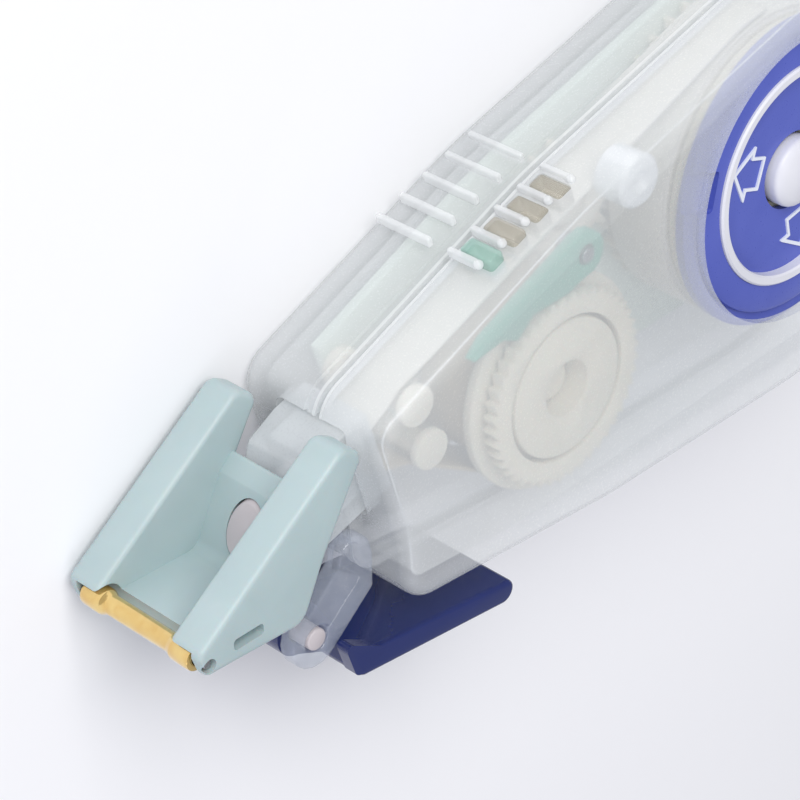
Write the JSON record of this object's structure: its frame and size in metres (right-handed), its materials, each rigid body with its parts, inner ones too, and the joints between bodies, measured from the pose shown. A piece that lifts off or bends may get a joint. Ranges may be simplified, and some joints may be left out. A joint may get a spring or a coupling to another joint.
{
  "type": "correction tape roller",
  "caption": "Hand-held correction tape dispenser with a roller tip on a rocking head, geared reels in a frosted two-part case, a tension dial and a latch lever.",
  "frame": {"origin": "axis of the supply reel on the flat back face that the dispenser lies on", "axes": "+Z from the back face towards the dial side, +X towards the rear, away from the head, +Y towards the ribbed grip edge"},
  "size_m": [0.0657, 0.0267, 0.0117],
  "materials": {
    "frosted_case": "frosted clear polystyrene",
    "white_neck": "milky translucent",
    "mint_plate": "satin",
    "head_grey": "satin grey-green",
    "amber_roller": "translucent amber",
    "navy_lever": "gloss navy",
    "blue_dial": "satin blue",
    "clear_bracket": "clear polished",
    "white_gear": "satin acetal",
    "teal_pawl": "satin",
    "tape_white": "matt coated film",
    "liner_taupe": "waxed paper liner",
    "steel": "drawn wire",
    "pin_grey": "satin",
    "rubber": "matt"
  },
  "bodies": {
    "case": {"back_case": "frosted_case", "front_case": "frosted_case", "neck_cowl": "white_neck", "cartridge_plate": "mint_plate", "supply_post": "white_gear", "idler_post": "white_gear", "take_up_post": "white_gear", "feed_guide": "white_gear", "return_guide": "white_gear", "feed_tape": "tape_white", "return_liner": "liner_taupe", "pawl_pin": "steel", "head_pin": "pin_grey", "lever_bracket": "clear_bracket", "lever_pin": "pin_grey"},
    "head": {"head_frame": "head_grey", "roller_axle": "steel"},
    "roller": {"tip_roller": "amber_roller"},
    "supply": {"supply_spool": "white_gear", "tape_pack": "tape_white", "tension_dial": "blue_dial", "dial_cap": "white_gear"},
    "drive": {"supply_gear": "white_gear", "clutch_ring": "rubber"},
    "idler": {"idler_gear": "white_gear"},
    "take_up": {"take_up_gear": "white_gear", "take_up_spool": "white_gear", "liner_pack": "liner_taupe", "ratchet_wheel": "white_gear"},
    "pawl": {"anti_reverse_pawl": "teal_pawl"},
    "lever": {"latch_lever": "navy_lever"}
  },
  "joints": [
    {"name": "head_swivel", "type": "hinge", "parent": "case", "child": "head", "pos_m": [-0.043, 0.0058, 0.006], "axis": [1, 0, 0], "range_deg": [-5, 5]},
    {"name": "roller_turn", "type": "hinge", "parent": "head", "child": "roller", "pos_m": [-0.051, 0.0058, 0.006], "axis": [0, 0, 1], "continuous": true},
    {"name": "supply_turn", "type": "hinge", "parent": "case", "child": "supply", "pos_m": [0, 0, 0.006], "axis": [0, 0, 1], "continuous": true},
    {"name": "drive_turn", "type": "hinge", "parent": "case", "child": "drive", "pos_m": [0, 0, 0.003], "axis": [0, 0, 1], "continuous": true},
    {"name": "idler_turn", "type": "hinge", "parent": "case", "child": "idler", "pos_m": [-0.0127, 0.00457, 0.003], "axis": [0, 0, 1], "continuous": true},
    {"name": "take_up_turn", "type": "hinge", "parent": "case", "child": "take_up", "pos_m": [-0.0217, 0.0002, 0.006], "axis": [0, 0, 1], "continuous": true},
    {"name": "pawl_rock", "type": "hinge", "parent": "case", "child": "pawl", "pos_m": [-0.0177, 0.0078, 0.00985], "axis": [0, 0, -1], "range_deg": [0, 6], "stiffness_Nm_per_rad": 0.0002},
    {"name": "lever_swing", "type": "hinge", "parent": "case", "child": "lever", "pos_m": [-0.043, -0.0018, 0.006], "axis": [0, 0, -1], "range_deg": [0, 55]}
  ],
  "couplings": [
    {"joint": "roller_turn", "follows": "supply_turn", "ratio": 17},
    {"joint": "drive_turn", "follows": "supply_turn", "ratio": 1},
    {"joint": "idler_turn", "follows": "supply_turn", "ratio": -2.375},
    {"joint": "take_up_turn", "follows": "supply_turn", "ratio": 1.5833}
  ]
}
